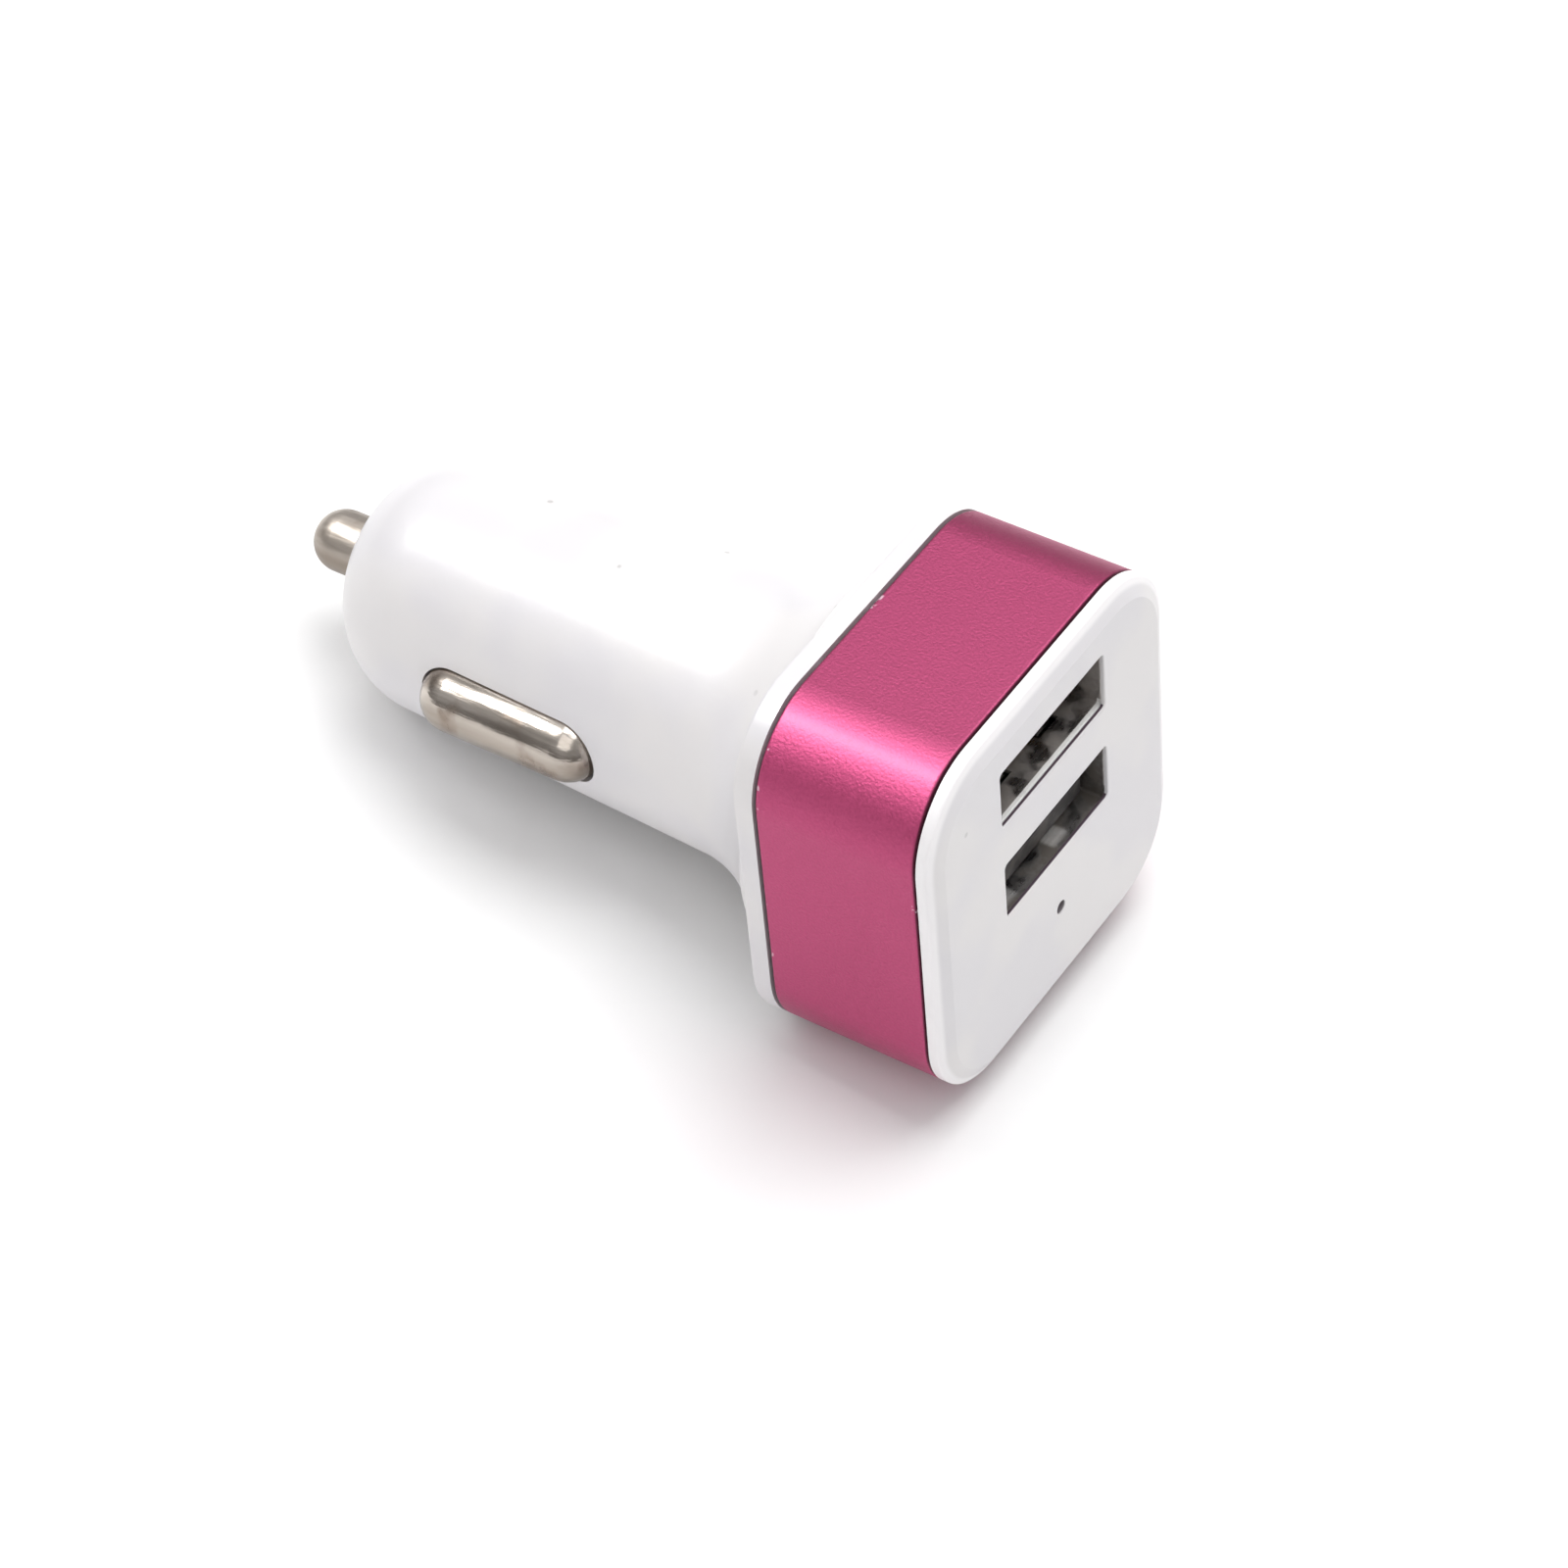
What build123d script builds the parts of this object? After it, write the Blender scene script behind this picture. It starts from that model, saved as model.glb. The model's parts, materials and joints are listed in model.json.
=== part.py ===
from build123d import *
from math import acos, asin, atan2, cos, degrees, hypot, radians, sin, tan
import os

# A two-port USB charger that plugs into a car's 12 V socket. Lengths are in millimetres.
# Each piece is drawn upright on the bench: z = 0 is the flat front face with the sockets, the
# pin points down, x runs across the plug and y is its height. The finished pieces are then laid
# down together as the plug rests on a table, on the rear edge of its head and on its nose.

# Head
head_side = 28.0
head_corner = 6.2
cover_lip = 1.3
cover_plate = 1.8
cover_edge = 0.2
opening_edge = 0.12
bevel_width = 1.3
bevel_depth = 0.6
band_length = 11.5
band_wall = 0.8
band_fit = 0.05
band_edge = 0.22
seam_gap = 0.2
flange_thickness = 1.5
flange_edge = 0.3
skirt_wall = 1.0
skirt_seat = 0.05
floor_cut = 0.2

# Barrel
plug_length = 53.4
nose_radius = 8.6
barrel_draft = 2.3
nose_round = 6.8
flare_round = 9.4
flare_step = 0.5
barrel_wall = 1.0
nose_wall = 1.8
flare_wall = 2.5
flare_bore_depth = 6.0

# Centre contact, its spring and the spring's terminal
pin_radius = 2.2
pin_reach = 5.25
pin_flat = 0.1
pin_fit = 0.08
collar_radius = 3.4
collar_thickness = 1.2
collar_seat = 0.05
collar_room = 0.2
boss_radius = 1.3
boss_length = 2.2
boss_edge = 0.4
spring_wire = 0.5
spring_radius = 2.0
spring_length = 9.0
spring_turns = 6
spring_ground = 0.03
terminal_sheet = 0.4
terminal_width = 5.2
terminal_drop = 2.9
terminal_tab = 3.4
terminal_tab_width = 2.6
terminal_dimple = 0.8
dimple_tip = 0.65

# Side contacts and their leaf springs
side_length = 13.9
side_width = 4.8
side_rise = 2.5
side_setback = 17.1
side_sheet = 0.4
side_fit = 0.15
ear_length = 1.6
ear_width = 4.4
ear_seat = 0.06
ear_root = 0.8
leaf_sheet = 0.25
leaf_width = 2.4
leaf_room = 1.5
leaf_flat = 3.0
leaf_reach = 4.2
leaf_curl = 0.9
leaf_bend = 0.6
leaf_seat = 0.06
leaf_stem = 2.0
leaf_foot = 1.9

# Sockets, with the standard USB-A opening and tongue
socket_width = 12.5
socket_height = 5.12
opening_width = 12.3
opening_height = 4.6
opening_shift = 0.25
opening_corner = 0.35
shell_sheet = 0.3
shell_corner = 0.5
shell_edge = 0.1
shell_fit = 0.1
socket_room = 0.85
socket_stand = 0.59
mouth_depth = 0.35
mouth_seat = 0.05
tongue_width = 11.1
tongue_sheet = 1.84
tongue_recess = 1.2
tongue_gap = 0.61
tongue_edge = 0.3
insulator_length = 2.4
insulator_fit = 0.05
contact_width = 1.0
contact_sheet = 0.2
contact_proud = 0.1
contact_bend = 0.35
contact_places = (-3.5, -1.0, 1.0, 3.5)
contact_recess = 1.0
tail_length = 0.45
tail_foot = 0.7
finger_length = 4.6
finger_width = 1.5
finger_slot = 0.4
finger_bend = 0.25
finger_spacing = 5.6
finger_start = 1.8
leg_length = 2.0
leg_foot = 1.0
leg_root = 1.0
leg_end = 1.35
leg_spacing = 3.5

# Front cover's snap ring
ring_fit = 0.1
ring_wall = 1.0
ring_length = 3.6
hook_width = 4.4
hook_catch = 0.8
hook_length = 1.5
hook_lip = 0.3
window_play = 0.1

# Circuit board and the parts on it
board_rise = 3.26
board_sheet = 1.6
board_side_gap = 0.35
board_bore_gap = 0.15
board_setback = 0.4
board_round = 1.0
board_fit = 0.1
rail_height = 1.4
rail_sheet = 1.0
chip_size = (3.9, 1.45, 4.9)
chip_standoff = 0.15
chip_depth = 25.2
chip_lead_pitch = 1.27
chip_lead_count = 4
chip_lead_width = 0.4
chip_lead_sheet = 0.2
chip_lead_span = 6.0
chip_lead_bend = 0.15
diode_size = (2.6, 2.0, 4.3)
diode_gap = 3.8
diode_bevel = 0.3
inductor_radius = 3.6
inductor_height = 6.2
inductor_flange = 0.9
inductor_waist = 1.9
winding_recess = 0.5
winding_turns = 6
capacitor_radius = 3.1
capacitor_length = 5.8
capacitor_drop = 3.8
capacitor_edge = 0.4
capacitor_groove = 0.35
can_end_gap = 0.7
can_lead_room = 2.3
coil_gap = 0.8
capacitor_pitch = 2.5
capacitor_wire = 0.5
capacitor_lead = 0.7
wire_bend = 0.5
chip_part_size = (1.25, 0.55, 2.0)
part_front = 7.6
part_pitch = 3.6
part_gap = 1.6
part_offset = 3.4

# Indicator lamp
lamp_hole = 0.5
lamp_drop = 6.67
lamp_radius = 1.5
lamp_rim = 1.75
lamp_rim_height = 0.8
lamp_length = 4.6
lamp_wall = 0.7
lamp_fit = 0.1
lamp_seat = 0.05
lamp_lead = 0.45
lamp_pitch = 2.54
lamp_room = 0.8

# Places that follow from the sizes above: the head and its cover
lip_rear = -cover_lip
band_front = lip_rear - seam_gap
band_rear = band_front - band_length
flange_front = band_rear - seam_gap
flange_rear = flange_front - flange_thickness
cavity_floor = flange_front - floor_cut
skirt_side = head_side - 2 * (band_wall + band_fit)
skirt_corner = head_corner - band_wall - band_fit
cavity_side = skirt_side - 2 * skirt_wall
cavity_corner = skirt_corner - skirt_wall
ring_side = cavity_side - 2 * ring_fit
ring_end = lip_rear - ring_length
hook_face = ring_end + hook_length

# The barrel, the centre contact and its spring
nose_end = -plug_length
bore_end = nose_end + nose_wall
barrel_bore = nose_radius - barrel_wall
nose_bore_round = barrel_bore - collar_radius - collar_room
flare_start = flange_front - flare_round
flare_radius = head_side / 2 - flare_step
flare_bore = flare_radius - flare_wall
pin_dome = pin_radius - pin_flat
collar_rear = bore_end + collar_thickness
terminal_face = collar_rear + spring_length

# The side contacts
side_radius = side_width / 2
side_height = nose_radius + side_rise
side_depth = plug_length - side_setback
side_axis = side_height - side_radius
side_floor = (barrel_bore ** 2 - (ear_width / 2) ** 2) ** 0.5 - ear_seat - side_sheet
leaf_back = side_floor - leaf_room

# The board between the sockets, and the sockets on its two sides
shell_width = socket_width + 2 * shell_sheet
shell_height = socket_height + 2 * shell_sheet
shell_length = -cavity_floor - mouth_depth - socket_room
shell_rear = -mouth_depth - shell_length
socket_board = -shell_height / 2 - socket_stand
tongue_face = socket_height / 2 - tongue_gap - tongue_sheet
board_height = barrel_bore - board_rise
board_top = board_height + board_sheet / 2
board_base = board_height - board_sheet / 2
board_front = -ring_end + board_setback
board_head_width = cavity_side - 2 * board_side_gap
board_neck_width = 2 * ((barrel_bore ** 2 - board_top ** 2) ** 0.5 - board_bore_gap)
upper_socket = board_top - socket_board
lower_socket = board_base + socket_board

# The parts on the board: cans and coil in a row below it from the spring's terminal forwards
input_depth = -terminal_face - terminal_sheet - can_end_gap - capacitor_length / 2
inductor_depth = input_depth - capacitor_length / 2 - can_lead_room - inductor_radius
output_depth = inductor_depth - inductor_radius - coil_gap - capacitor_length / 2
winding_radius = inductor_radius - winding_recess
diode_depth = chip_depth + chip_size[2] / 2 + diode_gap + diode_size[2] / 2
part_side = (shell_width / 2 + leg_foot + board_head_width / 2 - rail_height) / 2
part_rear = chip_depth - chip_size[2] / 2 - part_gap - chip_part_size[2] / 2
head_places = (part_front, part_front + part_pitch)
resistor_places = [(-part_side, depth) for depth in head_places] + [(part_offset, part_rear)]
ceramic_places = [(part_side, depth) for depth in head_places] + [(-part_offset, part_rear)]

# The lamp below the lower socket
lamp_base = -lamp_wall - lamp_seat - lamp_length
lamp_turn = -shell_rear + tail_length + tail_foot + lamp_room


def span_box(x, y, z):
    """A block between two x, two y and two z values."""
    size = (x[1] - x[0], y[1] - y[0], z[1] - z[0])
    middle = ((x[0] + x[1]) / 2, (y[0] + y[1]) / 2, (z[0] + z[1]) / 2)
    return Pos(*middle) * Box(*size)


def rounded_prism(width, height, corner, z):
    """An upright bar with rounded corners between two z values."""
    outline = Pos(0, 0, z[0]) * RectangleRounded(width, height, corner)
    return extrude(outline, z[1] - z[0])


def rod(radius, z):
    """A round bar on the z axis between two z values."""
    return Pos(0, 0, (z[0] + z[1]) / 2) * Cylinder(radius, z[1] - z[0])


def turned(*points):
    """A solid of revolution about z from a closed outline of (radius, z) points."""
    return revolve(make_face(Plane.XZ * Polyline(*points, close=True)), Axis.Z)


def rings(piece):
    """The circular edges of a turned piece, lowest first."""
    return piece.edges().filter_by(GeomType.CIRCLE).sort_by(Axis.Z)


def bent_strip(points, across, width, sheet, bend):
    """Sheet metal of one width that follows a bent line, its width along the given direction."""
    line = FilletPolyline(*points, radius=bend)
    section = Plane(origin=line @ 0, x_dir=across, z_dir=line % 0) * Rectangle(width, sheet)
    return sweep(section, path=line)


def bent_wire(points, thickness, bend):
    """Round wire that follows a bent line."""
    line = FilletPolyline(*points, radius=bend)
    section = Plane(origin=line @ 0, z_dir=line % 0) * Circle(thickness / 2)
    return sweep(section, path=line)


def other_side(piece):
    """The same piece on the opposite side of the plug."""
    return mirror(piece, about=Plane.YZ)


def sideways(x, depth):
    """Drawing plane that looks along +x, its x axis along y and its y axis along z."""
    return Plane(origin=(x, 0, -depth), x_dir=(0, 1, 0), z_dir=(1, 0, 0))


def barrel_outside():
    """The turned form: domed nose, drafted barrel and the flare that opens into the flange."""
    root = nose_radius + (flare_start - nose_end) * tan(radians(barrel_draft))
    centre = root + flare_round
    sweep_angle = acos((centre - flare_radius) / flare_round)

    def on_flare(angle):
        return (centre - flare_round * cos(angle), flare_start + flare_round * sin(angle))

    flare = ThreePointArc(on_flare(0), on_flare(sweep_angle / 2), on_flare(sweep_angle))
    sides = Polyline(on_flare(sweep_angle), (flare_radius, flange_front), (0, flange_front),
                     (0, nose_end), (nose_radius, nose_end), on_flare(0))
    body = revolve(make_face(Plane.XZ * (flare + sides)), Axis.Z)
    return fillet(rings(body)[0], nose_round)


def barrel_inside():
    """The hollow: rounded end, straight bore and the cone below the head's floor."""
    bore = rod(barrel_bore, (bore_end, cavity_floor))
    bore = fillet(rings(bore)[0], nose_bore_round)
    cone_end = cavity_floor - flare_bore_depth
    return bore + turned((0, cavity_floor), (flare_bore, cavity_floor), (barrel_bore, cone_end),
                         (0, cone_end))


def side_window():
    """Round-ended hole through the barrel's wall for one side contact, along +x."""
    hole = SlotOverall(side_length + 2 * side_fit, side_width + 2 * side_fit, rotation=90)
    return extrude(sideways(barrel_bore / 2, side_depth) * hole, barrel_bore)


def board_rails():
    """Two pairs of rails on the walls of the head that hold the board's long edges."""
    above = (board_top + board_fit, board_top + board_fit + rail_sheet)
    below = (board_base - board_fit - rail_sheet, board_base - board_fit)
    across = (board_head_width / 2 - rail_height, cavity_side / 2 + skirt_wall / 2)
    depth = (cavity_floor - floor_cut, -board_front)
    right = span_box(across, above, depth) + span_box(across, below, depth)
    return right + other_side(right)


def snap_windows():
    """Four windows in the skirt that the front cover's hooks spring into."""
    half = hook_width / 2 + window_play
    window = span_box((cavity_side / 2 - skirt_wall, skirt_side / 2 + skirt_wall), (-half, half),
                      (ring_end, hook_face + window_play))
    return [Rot(0, 0, quarter * 90) * window for quarter in range(4)]


def barrel_housing():
    """One white moulding: flange, flare, barrel, and the skirt that carries the band."""
    flange = rounded_prism(head_side, head_side, head_corner, (flange_rear, flange_front))
    flange = fillet(flange.edges().group_by(Axis.Z)[0], flange_edge)
    skirt = rounded_prism(skirt_side, skirt_side, skirt_corner, (flange_front, lip_rear - skirt_seat))
    body = barrel_outside() + flange + skirt
    body -= barrel_inside()
    body -= rounded_prism(cavity_side, cavity_side, cavity_corner, (cavity_floor, 0))
    body -= rod(pin_radius + pin_fit, (nose_end - nose_wall, bore_end + nose_wall))
    body -= side_window()
    body -= other_side(side_window())
    for window in snap_windows():
        body -= window
    return body + board_rails()


def head_band():
    """Drawn aluminium sleeve round the head, with softened outer edges."""
    sleeve = rounded_prism(head_side, head_side, head_corner, (band_rear, band_front))
    ends = sleeve.edges().group_by(Axis.Z)
    sleeve = fillet(ends[0] + ends[-1], band_edge)
    inside = head_side - 2 * band_wall
    return sleeve - rounded_prism(inside, inside, head_corner - band_wall, (band_rear, band_front))


def cover_hooks():
    """Four wedges on the cover's ring: a ramp to push past the skirt, and a face that catches."""
    root = ring_side / 2 - ring_wall / 2
    crest = ring_side / 2 + hook_catch
    ramp = Plane.XZ * Polyline((root, hook_face), (crest, hook_face), (crest, hook_face - hook_lip),
                               (ring_side / 2, ring_end), (root, ring_end), close=True)
    wedge = extrude(make_face(ramp), hook_width / 2, both=True)
    return [Rot(0, 0, quarter * 90) * wedge for quarter in range(4)]


def front_cover():
    """White moulded cover: bevelled plate, two socket openings, lamp hole and snap ring."""
    face = head_side - 2 * bevel_width
    foot = Pos(0, 0, -bevel_depth) * RectangleRounded(head_side, head_side, head_corner)
    top = RectangleRounded(face, face, head_corner - bevel_width)
    body = rounded_prism(head_side, head_side, head_corner, (lip_rear, -bevel_depth))
    body += loft([foot.face(), top.face()], ruled=True)
    rim = [edge for edge in body.edges() if abs(edge.center().Z + bevel_depth) < cover_edge / 2]
    body = fillet(rim, cover_edge)
    inner = ring_side - 2 * ring_wall
    body += rounded_prism(ring_side, ring_side, cavity_corner - ring_fit, (ring_end, lip_rear))
    body -= rounded_prism(inner, inner, cavity_corner - ring_fit - ring_wall, (ring_end, -cover_plate))
    for height in (upper_socket - opening_shift, lower_socket + opening_shift):
        body -= Pos(0, height, 0) * rounded_prism(opening_width, opening_height, opening_corner,
                                                  (-cover_plate, 0))
    mouths = body.faces().sort_by(Axis.Z)[-1].inner_wires()
    body = fillet([edge for mouth in mouths for edge in mouth.edges()], opening_edge)
    for height in (upper_socket, lower_socket):
        pocket = rounded_prism(shell_width + 2 * shell_fit, shell_height + 2 * shell_fit,
                               shell_corner, (ring_end, mouth_seat - mouth_depth))
        body -= Pos(0, height, 0) * pocket
    body -= Pos(0, -lamp_drop, 0) * rod(lamp_hole, (-cover_plate, 0))
    body -= Pos(0, -lamp_drop, 0) * rod(lamp_rim + lamp_fit, (-cover_plate, -lamp_wall))
    for wedge in cover_hooks():
        body += wedge
    return body


def centre_contact():
    """Turned pin: domed tip, shaft, the collar that stops inside the nose, and the spring's boss."""
    tip = nose_end - pin_reach
    collar_front = bore_end + collar_seat
    crown = collar_rear + boss_length
    pin = turned((0, tip), (pin_radius, tip), (pin_radius, collar_front), (collar_radius, collar_front),
                 (collar_radius, collar_rear), (boss_radius, collar_rear), (boss_radius, crown),
                 (0, crown))
    pin = fillet(rings(pin)[0], pin_dome)
    return chamfer(rings(pin)[-1], boss_edge)


def centre_spring():
    """Compression spring between the collar and the terminal, its ends ground flat."""
    coil = Helix(spring_length / spring_turns, spring_length, spring_radius)
    section = Plane(origin=coil @ 0, z_dir=coil % 0) * Circle(spring_wire / 2)
    turns = sweep(section, path=coil, is_frenet=True)
    reach = spring_radius + spring_wire
    ground = rod(reach, (spring_ground, spring_length - spring_ground))
    return Pos(0, 0, collar_rear) * (turns & ground)


def spring_terminal():
    """Bent bracket: an upright that the spring bears on and a tab soldered under the board."""
    half = terminal_width / 2
    rear = terminal_face + terminal_sheet
    upright = span_box((-half, half), (-terminal_drop, board_base), (terminal_face, rear))
    tab = span_box((-terminal_tab_width / 2, terminal_tab_width / 2),
                   (board_base - terminal_sheet, board_base), (terminal_face, rear + terminal_tab))
    dimple = Cone(dimple_tip, boss_radius, terminal_dimple,
                  align=(Align.CENTER, Align.CENTER, Align.MAX))
    return upright + tab + Pos(0, 0, terminal_face) * dimple


def round_ended_cap(radius):
    """A bar with a half-round crown and round ends, from the ears' level up, along +x."""
    straight = side_length - side_width
    outline = SlotOverall(straight + 2 * radius, 2 * radius, rotation=90)
    foot = extrude(sideways(side_floor, side_depth) * outline, side_axis - side_floor)
    crown = Cylinder(radius, straight) + Pos(0, 0, straight / 2) * Sphere(radius)
    crown += Pos(0, 0, -straight / 2) * Sphere(radius)
    outer = span_box((side_axis, side_axis + radius), (-radius, radius),
                     (-side_depth - side_length, side_length - side_depth))
    return foot + (Pos(side_axis, 0, -side_depth) * crown & outer)


def right_side_contact():
    """Pressed cap that bulges through the barrel's window, held in by an ear at each end."""
    cap = round_ended_cap(side_radius)
    for end in (-1, 1):
        near = -side_depth + end * (side_length / 2 - ear_root)
        far = -side_depth + end * (side_length / 2 + ear_length)
        cap += span_box((side_floor, side_floor + side_sheet), (-ear_width / 2, ear_width / 2),
                        (min(near, far), max(near, far)))
    return cap - round_ended_cap(side_radius - side_sheet)


def right_leaf_spring():
    """Bowed strip behind the side contact, with a foot soldered under the board."""
    inside = side_radius - side_sheet
    crest = side_axis + (inside ** 2 - (leaf_width / 2) ** 2) ** 0.5 - leaf_seat - leaf_sheet / 2
    back = leaf_back + leaf_sheet / 2
    bow = [(crest - leaf_curl, -leaf_reach - leaf_curl), (crest, -leaf_reach), (back, -leaf_flat / 2),
           (back, leaf_flat / 2), (crest, leaf_reach), (crest - leaf_curl, leaf_reach + leaf_curl)]
    points = [(x, 0, z - side_depth) for x, z in bow]
    strip = bent_strip(points, (0, 1, 0), leaf_width, leaf_sheet, leaf_bend)
    z = (-side_depth - leaf_stem / 2, -side_depth + leaf_stem / 2)
    upright = span_box((leaf_back, leaf_back + leaf_sheet), (0, board_base), z)
    foot = span_box((leaf_back - leaf_foot, leaf_back + leaf_sheet),
                    (board_base - leaf_sheet, board_base), z)
    return strip + upright + foot


def shell_fingers():
    """Windows and inward bent fingers of one broad wall of a socket shell."""
    front = -mouth_depth - finger_start
    root = front - finger_length
    wall = socket_height / 2
    half = finger_width / 2
    window = span_box((-half - finger_slot, half + finger_slot),
                      (wall - shell_sheet, wall + 2 * shell_sheet), (root, front))
    middle = (root + front) / 2
    tip = front - finger_slot
    bent = Plane.YZ * Polyline((wall, root - finger_slot), (wall + shell_sheet, root - finger_slot),
                               (wall + shell_sheet - finger_bend, middle),
                               (wall + shell_sheet, tip), (wall, tip), (wall - finger_bend, middle),
                               close=True)
    finger = extrude(make_face(bent), half, both=True)
    return window, finger


def socket_shell():
    """Folded steel shell, drawn about its own middle with the board below it."""
    z = (shell_rear, -mouth_depth)
    shell = rounded_prism(shell_width, shell_height, shell_corner, z)
    shell -= rounded_prism(socket_width, socket_height, shell_corner - shell_sheet, z)
    mouth = shell.faces().sort_by(Axis.Z)[-1].inner_wires()[0]
    shell = fillet(mouth.edges(), shell_edge)
    window, finger = shell_fingers()
    for place in (-finger_spacing / 2, finger_spacing / 2):
        for turn in (0, 180):
            shell -= Rot(0, 0, turn) * Pos(place, 0, 0) * window
            shell += Rot(0, 0, turn) * Pos(place, 0, 0) * finger
    edge = shell_width / 2
    for middle in (shell_rear + leg_end, shell_rear + leg_end + leg_spacing):
        span = (middle - leg_length / 2, middle + leg_length / 2)
        leg = span_box((edge - shell_sheet, edge), (socket_board, leg_root - shell_height / 2), span)
        leg += span_box((edge - shell_sheet, edge + leg_foot),
                        (socket_board, socket_board + shell_sheet), span)
        shell += leg
        shell += other_side(leg)
    return shell


def socket_pins():
    """Four contacts: along the tongue, through the insulator and down onto the board."""
    height = tongue_face - contact_proud + contact_sheet / 2
    tongue_tip = -mouth_depth - tongue_recess
    pins = []
    for place in contact_places:
        recess = contact_recess * (1 if abs(place) == max(contact_places) else 2)
        tail = shell_rear - tail_length
        board = socket_board + contact_sheet / 2
        points = [(place, height, tongue_tip - recess), (place, height, tail), (place, board, tail),
                  (place, board, tail - tail_foot)]
        pins.append(bent_strip(points, (1, 0, 0), contact_width, contact_sheet, contact_bend))
    return pins


def socket_tongue():
    """Moulded insulator: a block that closes the shell and the tongue that carries the contacts."""
    width = socket_width - 2 * insulator_fit
    height = socket_height - 2 * insulator_fit
    step = shell_rear + insulator_length
    block = span_box((-width / 2, width / 2), (-height / 2, height / 2), (shell_rear, step))
    tongue = span_box((-tongue_width / 2, tongue_width / 2),
                      (tongue_face, tongue_face + tongue_sheet),
                      (step, -mouth_depth - tongue_recess))
    tongue = chamfer(tongue.edges().group_by(Axis.Z)[-1], tongue_edge)
    body = block + tongue
    for pin in socket_pins():
        body -= pin
    return body


def on_board_top(piece):
    """A socket piece moved from its own middle to the upper socket's place."""
    return Pos(0, upper_socket, 0) * piece


def on_board_base(piece):
    """A socket piece turned over and moved to the lower socket's place."""
    return Pos(0, lower_socket, 0) * mirror(piece, about=Plane.XZ)


def main_board():
    """Circuit board: broad between the sockets, narrow down the barrel."""
    head = board_head_width / 2
    neck = board_neck_width / 2
    step = -cavity_floor - board_fit
    end = -terminal_face
    outline = Polyline((-head, board_front), (head, board_front), (head, step), (neck, step),
                       (neck, end), (-neck, end), (-neck, step), (-head, step), close=True)
    sheet = extrude(Plane(origin=(0, board_base, 0), x_dir=(1, 0, 0), z_dir=(0, 1, 0))
                    * make_face(outline), board_sheet)
    corners = sheet.edges().filter_by(Axis.Y)
    return fillet(corners, board_round)


def board_block(size, x, depth, standoff=0.0):
    """A block on top of the board, its middle at a place across the board and a depth."""
    foot = board_top + standoff
    return span_box((x - size[0] / 2, x + size[0] / 2), (foot, foot + size[1]),
                    (-depth - size[2] / 2, -depth + size[2] / 2))


def converter_chip():
    """Moulded chip body with drafted sides."""
    body = board_block(chip_size, 0, chip_depth, chip_standoff)
    return chamfer(body.faces().sort_by(Axis.Y)[-1].edges(), diode_bevel)


def converter_leads():
    """Gull-wing leads along both sides of the chip."""
    half = chip_size[0] / 2
    bend = (chip_lead_span / 2 + half) / 2
    height = board_top + chip_standoff + chip_size[1] / 2
    foot = board_top + chip_lead_sheet / 2
    leads = []
    for place in range(chip_lead_count):
        z = -chip_depth + (place - (chip_lead_count - 1) / 2) * chip_lead_pitch
        points = [(half, height, z), (bend, height, z), (bend, foot, z), (chip_lead_span / 2, foot, z)]
        lead = bent_strip(points, (0, 0, 1), chip_lead_width, chip_lead_sheet, chip_lead_bend)
        leads += [lead, other_side(lead)]
    return leads


def output_diode():
    """Moulded diode, flat on the board."""
    body = board_block(diode_size, 0, diode_depth)
    return chamfer(body.faces().sort_by(Axis.Y)[-1].edges(), diode_bevel)


def chip_parts(places):
    """Small surface-mounted parts at places across the board and down its length."""
    return [board_block(chip_part_size, x, depth) for x, depth in places]


def below_board(piece, depth):
    """A turned piece hung from the board, its axis upright to the board and its top against it."""
    return Pos(0, board_base, -depth) * Rot(-90, 0, 0) * piece


def inductor_core():
    """Turned ferrite bobbin."""
    rim = -inductor_height + inductor_flange
    bobbin = turned((0, -inductor_height), (inductor_radius, -inductor_height), (inductor_radius, rim),
                    (inductor_waist, rim), (inductor_waist, -inductor_flange),
                    (inductor_radius, -inductor_flange), (inductor_radius, 0), (0, 0))
    return below_board(bobbin, inductor_depth)


def inductor_winding():
    """Copper turns on the bobbin's waist, one outer layer of round ridges."""
    room = inductor_height - 2 * inductor_flange
    ridge = room / winding_turns
    low = -inductor_height + inductor_flange
    line = Polyline((winding_radius, -inductor_flange), (inductor_waist, -inductor_flange),
                    (inductor_waist, low), (winding_radius, low))
    for turn in range(winding_turns):
        foot = low + turn * ridge
        line += ThreePointArc((winding_radius, foot), (winding_radius + ridge / 2, foot + ridge / 2),
                              (winding_radius, foot + ridge))
    return below_board(revolve(make_face(Plane.XZ * line), Axis.Z), inductor_depth)


def capacitor_can(depth):
    """Aluminium can lying below the board, rolled in at a groove near its leads."""
    front = -depth + capacitor_length / 2
    rear = -depth - capacitor_length / 2
    waist = capacitor_radius - capacitor_groove
    can = turned((0, rear), (capacitor_radius, rear), (capacitor_radius, front - 3 * capacitor_groove),
                 (waist, front - 2 * capacitor_groove), (capacitor_radius, front - capacitor_groove),
                 (waist, front), (0, front))
    can = fillet(rings(can)[0], capacitor_edge)
    return Pos(0, board_base - capacitor_drop, 0) * can


def capacitor_leads():
    """Two wires from each can, bent up to the underside of the board."""
    height = board_base - capacitor_drop
    wires = []
    for depth in (input_depth, output_depth):
        front = -depth + capacitor_length / 2
        for x in (-capacitor_pitch / 2, capacitor_pitch / 2):
            points = [(x, height, front), (x, height, front + capacitor_lead),
                      (x, board_base, front + capacitor_lead)]
            wires.append(bent_wire(points, capacitor_wire, wire_bend))
    return wires


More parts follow.
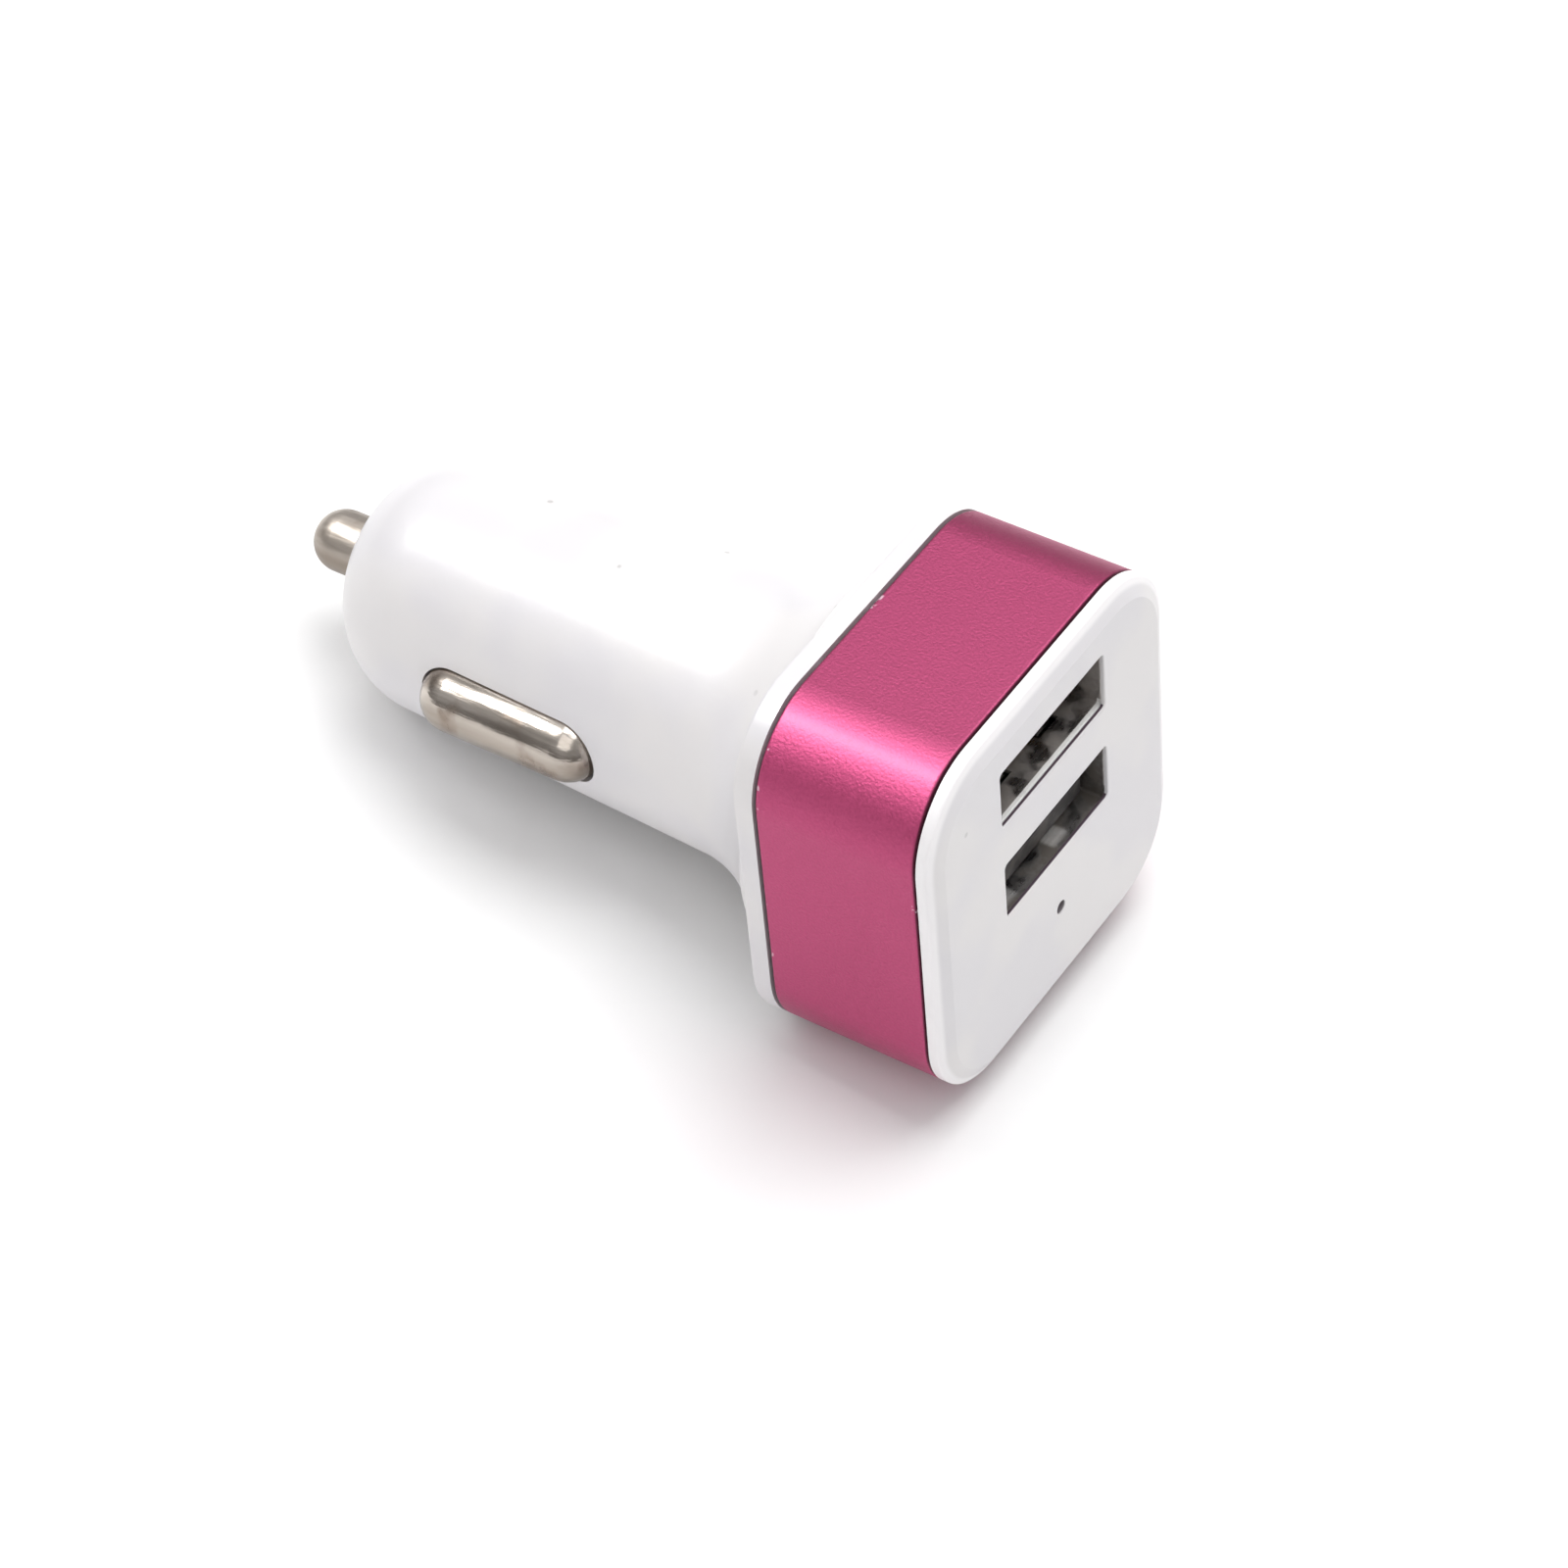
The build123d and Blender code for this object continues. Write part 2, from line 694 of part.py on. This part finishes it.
def indicator_lamp():
    """Domed lamp body with its rim, behind the hole in the cover."""
    top = lamp_base + lamp_length
    rim = lamp_base + lamp_rim_height
    lamp = turned((0, lamp_base), (lamp_rim, lamp_base), (lamp_rim, rim), (lamp_radius, rim),
                  (lamp_radius, top), (0, top))
    lamp = fillet(rings(lamp)[-1], lamp_radius - lamp_fit)
    return Pos(0, -lamp_drop, 0) * lamp


def lamp_leads():
    """Two wires from the lamp back past the lower socket and up to the board."""
    wires = []
    for x in (-lamp_pitch / 2, lamp_pitch / 2):
        points = [(x, -lamp_drop, lamp_base), (x, -lamp_drop, -lamp_turn), (x, board_base, -lamp_turn)]
        wires.append(bent_wire(points, lamp_lead, wire_bend))
    return wires


def resting_place():
    """The plug on a table: how far it tips about its head's rear edge until the nose touches.

    The table is the common tangent of the flange's rounded edge and the nose's rounding."""
    draft = radians(barrel_draft)
    nose_depth = plug_length - nose_round
    nose_height = nose_radius + nose_round * tan(draft) - nose_round / cos(draft)
    run = nose_depth + flange_rear + flange_edge
    drop = head_side / 2 - flange_edge - nose_height
    tilt = atan2(drop, run) - asin((nose_round - flange_edge) / hypot(run, drop))
    lift = nose_round + nose_height * cos(tilt) + nose_depth * sin(tilt)
    return degrees(tilt), lift


pieces = {
    "barrel_housing": barrel_housing(),
    "head_band": head_band(),
    "front_cover": front_cover(),
    "centre_contact": centre_contact(),
    "centre_spring": centre_spring(),
    "spring_terminal": spring_terminal(),
    "right_side_contact": right_side_contact(),
    "left_side_contact": other_side(right_side_contact()),
    "right_leaf_spring": right_leaf_spring(),
    "left_leaf_spring": other_side(right_leaf_spring()),
    "main_board": main_board(),
    "upper_socket_shell": on_board_top(socket_shell()),
    "lower_socket_shell": on_board_base(socket_shell()),
    "upper_socket_tongue": on_board_top(socket_tongue()),
    "lower_socket_tongue": on_board_base(socket_tongue()),
    "upper_socket_pins": on_board_top(Compound(children=socket_pins())),
    "lower_socket_pins": on_board_base(Compound(children=socket_pins())),
    "converter_chip": converter_chip(),
    "converter_leads": Compound(children=converter_leads()),
    "output_diode": output_diode(),
    "chip_resistors": Compound(children=chip_parts(resistor_places)),
    "chip_capacitors": Compound(children=chip_parts(ceramic_places)),
    "inductor_core": inductor_core(),
    "inductor_winding": inductor_winding(),
    "input_capacitor": capacitor_can(input_depth),
    "output_capacitor": capacitor_can(output_depth),
    "capacitor_leads": Compound(children=capacitor_leads()),
    "indicator_lamp": indicator_lamp(),
    "lamp_leads": Compound(children=lamp_leads()),
}

# Laid down: the sockets face +x and tip up a little, the board's top faces up, z = 0 is the
# table, and the origin is below the middle of the plug's length.
tilt, lift = resting_place()
facing = Plane(origin=(0, 0, 0), x_dir=(0, 1, 0), z_dir=(1, 0, 0)).location
table = Pos(0, 0, lift) * Rot(0, -tilt, 0) * facing
front = (table * pieces["front_cover"]).bounding_box().max.X
rear = (table * pieces["centre_contact"]).bounding_box().min.X
place = Pos(-(front + rear) / 2, 0, 0) * table

os.makedirs("parts", exist_ok=True)
for name, piece in pieces.items():
    export_step(place * piece, f"parts/{name}.step")
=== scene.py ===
import json
import math

import bpy
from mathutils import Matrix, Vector

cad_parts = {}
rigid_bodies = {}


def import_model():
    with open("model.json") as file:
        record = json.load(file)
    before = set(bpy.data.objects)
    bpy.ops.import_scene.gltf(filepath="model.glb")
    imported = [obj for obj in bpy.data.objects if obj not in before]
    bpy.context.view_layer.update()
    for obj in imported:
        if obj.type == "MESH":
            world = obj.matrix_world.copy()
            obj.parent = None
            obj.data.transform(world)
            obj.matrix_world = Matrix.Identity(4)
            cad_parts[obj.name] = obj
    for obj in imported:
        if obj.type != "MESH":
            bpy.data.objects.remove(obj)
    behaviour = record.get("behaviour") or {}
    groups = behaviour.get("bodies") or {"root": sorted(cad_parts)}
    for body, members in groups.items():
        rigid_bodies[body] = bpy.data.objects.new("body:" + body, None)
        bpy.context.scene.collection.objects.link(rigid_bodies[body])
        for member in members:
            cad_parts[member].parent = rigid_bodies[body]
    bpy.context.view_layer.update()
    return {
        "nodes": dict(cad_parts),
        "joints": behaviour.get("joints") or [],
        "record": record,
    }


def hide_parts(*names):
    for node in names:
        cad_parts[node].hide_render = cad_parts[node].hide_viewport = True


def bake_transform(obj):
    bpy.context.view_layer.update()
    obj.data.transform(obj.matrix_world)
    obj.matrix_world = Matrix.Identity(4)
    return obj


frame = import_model()


# The housing is one injection moulding in white ABS: flange, flare, barrel and nose, and the skirt
# inside the band. It is sprayed with nothing, so it shows the tool's polish, a faint orange peel,
# and a few dust flecks. The board slides into its rails and the band is pushed over its skirt.
class Signal:
    """A value inside a finish. Arithmetic between signals and numbers adds Math nodes."""

    def __init__(self, finish, socket):
        self.finish = finish
        self.socket = socket

    def maths(self, operation, first, second):
        return self.finish.add("ShaderNodeMath", {"operation": operation}, {0: first, 1: second})

    def __add__(self, other):
        return self.maths("ADD", self, other)

    def __sub__(self, other):
        return self.maths("SUBTRACT", self, other)

    def __rsub__(self, other):
        return self.maths("SUBTRACT", other, self)

    def __mul__(self, other):
        return self.maths("MULTIPLY", self, other)

    __radd__ = __add__
    __rmul__ = __mul__


class Finish:
    """The shader nodes of one finish, from the place on the piece to its surface."""

    def __init__(self, name, owner=None):
        self.owner = owner or bpy.data.materials.new(name)
        self.owner.use_nodes = True
        self.tree = self.owner.node_tree
        self.tree.nodes.clear()

    def add(self, kind, settings=None, inputs=None, output=0):
        node = self.tree.nodes.new(kind)
        for name, value in (settings or {}).items():
            setattr(node, name, value)
        for name, value in (inputs or {}).items():
            if isinstance(value, Signal):
                self.tree.links.new(value.socket, node.inputs[name])
            else:
                node.inputs[name].default_value = value
        return Signal(self, node.outputs[output]) if node.outputs else None

    def on_plug(self, stretch=(1, 1, 1)):
        """Places in metres from the middle of the front face: x along the plug, z up the head."""
        here = self.add("ShaderNodeTexCoord", output="Object")
        turned = {"Vector": here, "Location": face_middle, "Rotation": (0, -plug_tilt, 0),
                  "Scale": stretch}
        return self.add("ShaderNodeMapping", {"vector_type": "TEXTURE"}, turned)

    def axis(self, place, name):
        return self.add("ShaderNodeSeparateXYZ", None, {"Vector": place}, output=name)

    def noise(self, place, size, detail=2.0):
        """Cloudy noise around 0.5 with lumps of about the given size in metres."""
        return self.add("ShaderNodeTexNoise", {"normalize": True},
                        {"Vector": place, "Scale": 1 / size, "Detail": detail})

    def dots(self, place, spacing):
        """Distance from the nearest of many scattered points, as a share of their spacing."""
        return self.add("ShaderNodeTexVoronoi", None, {"Vector": place, "Scale": 1 / spacing})

    def step(self, signal, low, high):
        """A smooth rise from 0 at low to 1 at high, or a fall where high is the lower."""
        return self.add("ShaderNodeMapRange", {"interpolation_type": "SMOOTHSTEP"},
                        {"Value": signal, "From Min": low, "From Max": high})

    def band(self, signal, low, high, soft):
        """1 between two values and 0 outside them, with soft ends."""
        rise = self.step(signal, low - soft, low + soft)
        return rise * self.step(signal, high + soft, high - soft)

    def blend(self, mask, first, second):
        """The first colour where the mask is 0 and the second where it is 1."""
        return self.add("ShaderNodeMix", {"data_type": "RGBA"}, {0: mask, 6: first, 7: second},
                        output=2)

    def relief(self, height, depth):
        """A bump of the given full depth in metres, from a height between 0 and 1."""
        return self.add("ShaderNodeBump", None,
                        {"Height": height, "Distance": depth, "Strength": 1.0})

    def surface(self, **inputs):
        """Ends the finish in a shader, with its sockets by name."""
        shader = self.add("ShaderNodeBsdfPrincipled", None,
                          {name.replace("_", " "): value for name, value in inputs.items()})
        self.add("ShaderNodeOutputMaterial", None, {"Surface": shader})
        return self

    def onto(self, *names):
        """Puts the finish on solids of the frame, in place of their plain one."""
        for name in names:
            for slot in frame["nodes"][name].material_slots:
                slot.material = self.owner


mounts = {mount["name"]: Vector(mount["pos_m"]) for mount in frame["record"]["mounts"]}
along_plug = Vector(frame["joints"][0]["axis"])
plug_tilt = math.atan2(along_plug.z, along_plug.x)
contact_depth = 0.0363
face_middle = mounts["car_socket"] + along_plug * contact_depth

# These are places on the plug in metres. The joints beside the band, the openings' lower edges, the
# lamp's hole and the barrel's underside are coloured darker with painted shade, and the cover's rim
# lighter with painted light, because the photograph shows them so.
rear_gap = -0.01320, -0.01309
front_gap = -0.00150, -0.00138
rim_depth = -0.00145, -0.00036
sockets_width = -0.0066, 0.0066
sockets_height = -0.006, 0.0112
upper_sill = 0.00590, 0.00620
lower_sill = -0.00210, -0.00180
sill_depth = -0.00040, -0.00012
lamp_hole_width = -0.0008, 0.0008
lamp_hole_height = -0.0077, -0.0055
lamp_hole_depth = -0.0012, -0.00008
barrel_start, barrel_full = -0.0145, -0.0160
underside_start, underside_full = -0.0055, -0.0092

white = Finish("white_plastic")
place = white.on_plug()
cloud = white.noise(place, 0.011)
peel = white.noise(place, 0.0011, detail=3.0)
fleck = white.step(white.dots(place, 0.0040), 0.066, 0.040)
fleck = fleck * white.step(white.noise(place, 0.014), 0.44, 0.52)
length = white.axis(place, "X")
across = white.axis(place, "Y")
height = white.axis(place, "Z")
# Painted shade in the joints beside the band.
seam_shade = white.band(length, *rear_gap, 0.00002) + white.band(length, *front_gap, 0.00002)
inside = white.band(across, *sockets_width, 0.0003) * white.band(height, *sockets_height, 0.0003)
# Painted shade on the openings' lower edges.
sill_shade = white.band(height, *upper_sill, 0.00003) + white.band(height, *lower_sill, 0.00003)
sill_shade = sill_shade * white.band(length, *sill_depth, 0.00002) * inside
# Painted light on the cover's rim.
rim_light = white.band(length, *rim_depth, 0.00008) * (1 - inside)
# Painted shade in the lamp's hole.
lamp_hole_shade = white.band(across, *lamp_hole_width, 0.0001)
lamp_hole_shade = lamp_hole_shade * white.band(height, *lamp_hole_height, 0.0001)
lamp_hole_shade = lamp_hole_shade * white.band(length, *lamp_hole_depth, 0.00003)
# Painted shade on the barrel's underside.
underside_shade = white.step(height, underside_start, underside_full)
underside_shade = underside_shade * white.step(length, barrel_start, barrel_full)
tone = white.blend(white.step(cloud, 0.42, 0.58),
                   (0.775, 0.758, 0.778, 1), (0.815, 0.795, 0.795, 1))
tone = white.blend(rim_light, tone, (0.97, 0.95, 0.96, 1))
tone = white.blend(underside_shade * 0.65, tone, (0.46, 0.445, 0.435, 1))
tone = white.blend(fleck * 0.5, tone, (0.36, 0.35, 0.34, 1))
# The dark colour mixed in below is painted shade.
painted_shade = seam_shade * 0.85 + sill_shade + lamp_hole_shade * 0.75
white.surface(Base_Color=white.blend(painted_shade, tone, (0.10, 0.07, 0.09, 1)),
              Roughness=cloud * 0.12 + 0.26,
              Normal=white.relief(peel, 0.000012),
              Coat_Weight=0.12, Coat_Roughness=0.16, IOR=1.52).onto("barrel_housing")


# The centre contact is a turned brass pin, nickel plated, with a domed tip that its spring presses
# out through the nose. The spring bears on a bent terminal of tinned brass soldered to the board.
# The tip is duller than the shaft, and painted shade darkens the contacts below their middle.
tip_start, tip_full = -0.0530, -0.0534
shade_start, shade_full = 0.0014, 0.0002

nickel = Finish("nickel")
place = nickel.on_plug()
along = nickel.on_plug(stretch=(9, 1, 1))
drawn = nickel.noise(along, 0.0005, detail=4.0)
haze = nickel.noise(place, 0.0035, detail=3.0)
tarnish = nickel.step(haze, 0.48, 0.62)
rubbed = nickel.noise(along, 0.0012, detail=3.0)
dull = nickel.step(nickel.axis(place, "X"), tip_start, tip_full)
# Painted shade on the contacts below their middle.
shade = nickel.step(nickel.axis(place, "Z"), shade_start, shade_full)
plate = nickel.blend(nickel.step(rubbed, 0.35, 0.65),
                     (0.42, 0.375, 0.33, 1), (0.62, 0.565, 0.51, 1))
plate = nickel.blend(shade * 0.6 + dull * 0.25, plate, (0.24, 0.20, 0.165, 1))
nickel.surface(Base_Color=nickel.blend(tarnish * 0.6, plate, (0.20, 0.145, 0.11, 1)),
               Metallic=1.0,
               Roughness=drawn * 0.12 + tarnish * 0.10 + dull * 0.22 + 0.13,
               Normal=nickel.relief(drawn * 0.25 + rubbed * 0.35 + haze * 0.4, 0.00012))
nickel.onto("centre_contact")

steel = Finish("spring_steel")
place = steel.on_plug()
haze = steel.noise(place, 0.0011, detail=3.0)
steel.surface(Base_Color=steel.blend(haze, (0.42, 0.42, 0.43, 1), (0.56, 0.55, 0.54, 1)),
              Metallic=1.0, Roughness=haze * 0.2 + 0.22,
              Normal=steel.relief(steel.noise(place, 0.00016), 0.000004)).onto("centre_spring")
merge_distance = 1e-7


def flexing(node):
    """A merged copy of a spring's solid, shown in place of the solid, which is hidden."""
    bpy.ops.object.select_all(action="DESELECT")
    solid = frame["nodes"][node]
    solid.select_set(True)
    bpy.context.view_layer.objects.active = solid
    bpy.ops.object.duplicate()
    spring = bpy.context.object
    spring.name = node + "_flexing"
    bpy.ops.object.parent_clear(type="CLEAR_KEEP_TRANSFORM")
    bpy.ops.object.transform_apply(location=True, rotation=True, scale=True)
    bpy.ops.object.mode_set(mode="EDIT")
    bpy.ops.mesh.select_all(action="SELECT")
    bpy.ops.mesh.remove_doubles(threshold=merge_distance)
    bpy.ops.object.mode_set(mode="OBJECT")
    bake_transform(spring)
    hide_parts(node)


flexing("centre_spring")

tinned = Finish("tinned_brass")
place = tinned.on_plug()
haze = tinned.noise(place, 0.0014, detail=3.0)
tinned.surface(Base_Color=tinned.blend(haze, (0.60, 0.59, 0.57, 1), (0.76, 0.75, 0.72, 1)),
               Metallic=1.0, Roughness=haze * 0.25 + 0.25,
               Normal=tinned.relief(haze, 0.00002)).onto("spring_terminal")


# The side contacts are pressed from nickel plated strip, with half-round crowns that bulge through
# the barrel's windows. Use has left brown tarnish on them. A bowed leaf of spring steel presses each
# one out, and shortens as the contact is pushed in.
nickel.onto("left_side_contact", "right_side_contact")
steel.onto("left_leaf_spring", "right_leaf_spring")
flexing("left_leaf_spring")
flexing("right_leaf_spring")


# The board is glass-filled laminate under green solder mask, and it slides into the housing's
# rails. The converter's parts are soldered on both sides of it by reflow and by wave.
mask_green = Finish("board_laminate")
place = mask_green.on_plug()
weave = mask_green.noise(mask_green.on_plug(stretch=(1, 6, 1)), 0.0008)
run = mask_green.step(mask_green.noise(place, 0.0028), 0.49, 0.51)
laminate = mask_green.blend(run, (0.012, 0.10, 0.035, 1), (0.03, 0.19, 0.075, 1))
mask_green.surface(Base_Color=laminate,
                   Roughness=weave * 0.15 + 0.3,
                   Normal=mask_green.relief(run + weave * 0.2, 0.00003),
                   Coat_Weight=0.3, Coat_Roughness=0.2).onto("main_board")

moulding = Finish("chip_black")
place = moulding.on_plug()
grain = moulding.noise(place, 0.00018, detail=3.0)
resin = moulding.blend(grain, (0.016, 0.016, 0.017, 1), (0.035, 0.034, 0.033, 1))
moulding.surface(Base_Color=resin,
                 Roughness=grain * 0.2 + 0.5,
                 Normal=moulding.relief(grain, 0.00001))
moulding.onto("converter_chip", "output_diode", "chip_resistors")

fired = Finish("ceramic_tan")
place = fired.on_plug()
grain = fired.noise(place, 0.00022, detail=3.0)
end_cap = fired.step(fired.noise(place, 0.0012), 0.55, 0.57)
tan = fired.blend(grain, (0.42, 0.29, 0.17, 1), (0.55, 0.41, 0.26, 1))
fired.surface(Base_Color=fired.blend(end_cap * 0.4, tan, (0.62, 0.60, 0.57, 1)),
              Roughness=grain * 0.2 + 0.35,
              Normal=fired.relief(grain, 0.000006)).onto("chip_capacitors")

ferrite = Finish("ferrite")
place = ferrite.on_plug()
grain = ferrite.noise(place, 0.00025, detail=4.0)
ferrite.surface(Base_Color=ferrite.blend(grain, (0.035, 0.035, 0.04, 1), (0.085, 0.085, 0.09, 1)),
                Roughness=grain * 0.2 + 0.42,
                Normal=ferrite.relief(grain, 0.00002)).onto("inductor_core")

copper = Finish("copper_wire")
place = copper.on_plug()
varnish = copper.noise(place, 0.0016, detail=3.0)
copper.surface(Base_Color=copper.blend(varnish, (0.42, 0.14, 0.05, 1), (0.66, 0.27, 0.11, 1)),
               Metallic=1.0, Roughness=varnish * 0.15 + 0.2,
               Normal=copper.relief(varnish, 0.00002),
               Coat_Weight=0.5, Coat_Roughness=0.1).onto("inductor_winding")

can = Finish("can_aluminium")
place = can.on_plug()
drawn = can.noise(can.on_plug(stretch=(12, 1, 1)), 0.0004, detail=3.0)
can.surface(Base_Color=can.blend(drawn, (0.55, 0.56, 0.58, 1), (0.74, 0.75, 0.77, 1)),
            Metallic=1.0, Roughness=drawn * 0.2 + 0.2,
            Normal=can.relief(drawn, 0.000008)).onto("input_capacitor", "output_capacitor")
tinned.onto("converter_leads", "capacitor_leads")


# The two sockets have shells folded from nickel plated steel, black tongues moulded round their
# four gold flashed contacts, and soldered legs. The upper shell is lighter with painted light, its
# lower lip has a painted highlight, and the lower shell's floor is lighter in two patches.
lip_start, lip_full = -0.00072, -0.00066
lip_height = 0.0055, 0.0064
middle_patch = 0.0009, 0.0026
side_patch = -0.0050, -0.0036
patch_depth = -0.0021, -0.0009
upper_start, upper_full = 0.003, 0.005
lower_start, lower_full = 0.001, -0.001

socket = Finish("socket_steel")
place = socket.on_plug()
depth = socket.axis(place, "X")
across = socket.axis(place, "Y")
height = socket.axis(place, "Z")
drawn = socket.noise(socket.on_plug(stretch=(1, 14, 1)), 0.0003, detail=3.0)
# The lip's pale, barely metallic colour is a painted highlight.
lip_highlight = socket.step(depth, lip_start, lip_full) * socket.band(height, *lip_height, 0.0001)
soiled = socket.step(socket.noise(place, 0.0016, detail=3.0), 0.40, 0.64)
# Two pale patches on the lower shell's floor.
pale_patches = socket.band(across, *middle_patch, 0.0002) + socket.band(across, *side_patch, 0.0002)
pale_patches = pale_patches * socket.band(depth, *patch_depth, 0.0002)
pale_patches = pale_patches * socket.step(height, lower_start, lower_full)
bare = socket.blend(drawn, (0.40, 0.39, 0.39, 1), (0.60, 0.58, 0.57, 1))
bare = socket.blend(soiled * 0.8, bare, (0.17, 0.145, 0.12, 1))
# Painted light makes the upper shell lighter.
upper_light = socket.step(height, upper_start, upper_full)
bare = socket.blend(upper_light * 0.35, bare, (0.88, 0.82, 0.78, 1))
socket.surface(Base_Color=socket.blend(lip_highlight + pale_patches * drawn * 0.6, bare, (0.95, 0.94, 0.92, 1)),
               Metallic=1 - lip_highlight * 0.9 - soiled * 0.4 - pale_patches * 0.5,
               Roughness=drawn * 0.18 + soiled * 0.2 + 0.18,
               Normal=socket.relief(drawn, 0.000006))
socket.onto("upper_socket_shell", "lower_socket_shell")

black = Finish("black_plastic")
place = black.on_plug()
grain = black.noise(place, 0.0002, detail=3.0)
dusty = black.step(black.noise(place, 0.0019, detail=3.0), 0.42, 0.64)
tint = black.blend(grain, (0.028, 0.026, 0.027, 1), (0.046, 0.043, 0.043, 1))
black.surface(Base_Color=black.blend(dusty * 0.3, tint, (0.20, 0.175, 0.155, 1)),
              Roughness=grain * 0.2 + 0.38,
              Normal=black.relief(grain, 0.000008))
black.onto("upper_socket_tongue", "lower_socket_tongue")

gold = Finish("gold_contact")
place = gold.on_plug()
wiped = gold.noise(gold.on_plug(stretch=(10, 1, 1)), 0.0003, detail=3.0)
gold.surface(Base_Color=gold.blend(wiped, (0.66, 0.42, 0.14, 1), (0.86, 0.62, 0.26, 1)),
             Metallic=1.0, Roughness=wiped * 0.2 + 0.16,
             Normal=gold.relief(wiped, 0.000004)).onto("upper_socket_pins", "lower_socket_pins")


# The indicator lamp is a cast epoxy dome behind the small hole below the lower socket, on two
# tinned leads bent up to the board.
lens = Finish("lamp_lens")
place = lens.on_plug()
swirl = lens.noise(place, 0.0012)
# The lens's near-black colour is painted shade for the hole in front of it.
lens.surface(Base_Color=lens.blend(swirl, (0.06, 0.06, 0.06, 1), (0.10, 0.10, 0.10, 1)),
             Roughness=swirl * 0.1 + 0.06,
             Normal=lens.relief(swirl, 0.00001),
             Transmission_Weight=0.3, IOR=1.5).onto("indicator_lamp")
tinned.onto("lamp_leads")


# The band is a drawn aluminium sleeve, bead blasted and anodised pink, pushed over the housing's
# skirt. The blasting leaves a fine grain, a few pits show, and its rims have small pale nicks.
# Both cut ends carry painted shade, and painted shade makes the top darker than the sides, as the
# photograph shows them.
front_end = -0.00162, -0.00154
rear_end = -0.01292, -0.01298
front_edge = -0.00180, -0.00165
rear_edge = -0.01265, -0.01282
top_start, top_full = 0.0118, 0.0138

pink = Finish("pink_aluminium")
place = pink.on_plug()
grain = pink.noise(place, 0.00020, detail=4.0)
cloud = pink.noise(place, 0.006)
pit = pink.step(pink.dots(place, 0.0042), 0.05, 0.028)
pit = pit * pink.step(pink.noise(place, 0.017), 0.50, 0.54)
length = pink.axis(place, "X")
# Painted shade on both cut ends.
end_shade = pink.step(length, *front_end) + pink.step(length, *rear_end) * 0.5
edges = pink.step(length, *front_edge) + pink.step(length, *rear_edge)
chip = edges * pink.step(pink.noise(place, 0.0009, detail=3.0), 0.66, 0.70)
# Painted shade on the top.
top_shade = pink.step(pink.axis(place, "Z"), top_start, top_full)
dye = pink.blend(grain, (0.38, 0.053, 0.138, 1), (0.58, 0.096, 0.230, 1))
dye = pink.blend(cloud * 0.3, dye, (0.39, 0.056, 0.145, 1))
dye = pink.blend(top_shade * 0.42, dye, (0.24, 0.050, 0.105, 1))
dye = pink.blend(pit * 0.5, dye, (0.10, 0.03, 0.05, 1))
dye = pink.blend(end_shade * 0.7, dye, (0.06, 0.02, 0.03, 1))
dye = pink.blend(chip * 0.8, dye, (0.80, 0.62, 0.70, 1))
pink.surface(Base_Color=dye,
             Metallic=1.0,
             Roughness=grain * 0.12 + 0.46,
             Normal=pink.relief(grain - pit * 0.8, 0.000036),
             Coat_Weight=0.2, Coat_Roughness=0.32).onto("head_band")


# The cover is the second white moulding: a bevelled plate with the two socket openings and the
# lamp's hole, snapped into the housing by four hooks. It has the housing's finish.
white.onto("front_cover")


# The ground is plain white card under soft studio light: a large softbox overhead, a weaker one in
# front, a fill from behind without highlights, and a small one that draws only highlights, on the
# band's corner and the contacts.
ground_size = 3.0
light_distance = 0.9

bpy.ops.object.select_all(action="DESELECT")
bpy.ops.mesh.primitive_plane_add(size=ground_size)
ground = bpy.context.object
ground.name = "ground"
card = Finish("white_card")
fibre = card.noise(card.add("ShaderNodeTexCoord", output="Object"), 0.004, detail=3.0)
card.surface(Base_Color=card.blend(fibre, (0.90, 0.90, 0.90, 1), (0.92, 0.92, 0.92, 1)),
             Roughness=0.8)
ground.data.materials.append(card.owner)


def softbox(name, direction, width, power):
    """A square area light that shines on the plug from a direction."""
    bpy.ops.object.light_add(type="AREA",
                             location=Vector(direction).normalized() * light_distance)
    lamp = bpy.context.object
    lamp.name = name
    lamp.rotation_euler = (-lamp.location).to_track_quat("-Z", "Y").to_euler()
    lamp.data.size = width
    lamp.data.energy = power


softbox("overhead_light", (0.02, 0.30, 1.0), 0.7, 6.1)
softbox("front_light", (0.08, -0.55, 0.82), 0.6, 1.5)
softbox("back_light", (-0.70, 0.35, 0.70), 0.9, 1.8)
bpy.context.object.visible_glossy = False
softbox("gloss_light", (-0.562, -0.18, 0.81), 0.14, 7.2)
bpy.context.object.visible_diffuse = False

room = Finish("room", bpy.context.scene.world or bpy.data.worlds.new("room"))
bpy.context.scene.world = room.owner
direction = room.add("ShaderNodeTexCoord", output="Generated")
height = room.step(room.axis(direction, "Z"), -0.05, 0.80)
wall = room.blend(height, (0.33, 0.31, 0.30, 1), (0.95, 0.95, 0.96, 1))
glow = room.add("ShaderNodeBackground", None, {"Color": wall, "Strength": 0.54})
room.add("ShaderNodeOutputWorld", None, {"Surface": glow})


# The camera stands where the photograph was taken from.
bpy.ops.object.camera_add(location=(0.108856, -0.179820, 0.252924),
                          rotation=[math.radians(turn) for turn in (39.8407, -3.3729, 33.3335)])
camera = bpy.context.object
camera.data.sensor_width = 36
camera.data.lens = 112
camera.data.clip_start = 0.01
bpy.context.scene.camera = camera
bpy.context.scene.view_settings.view_transform = "Standard"
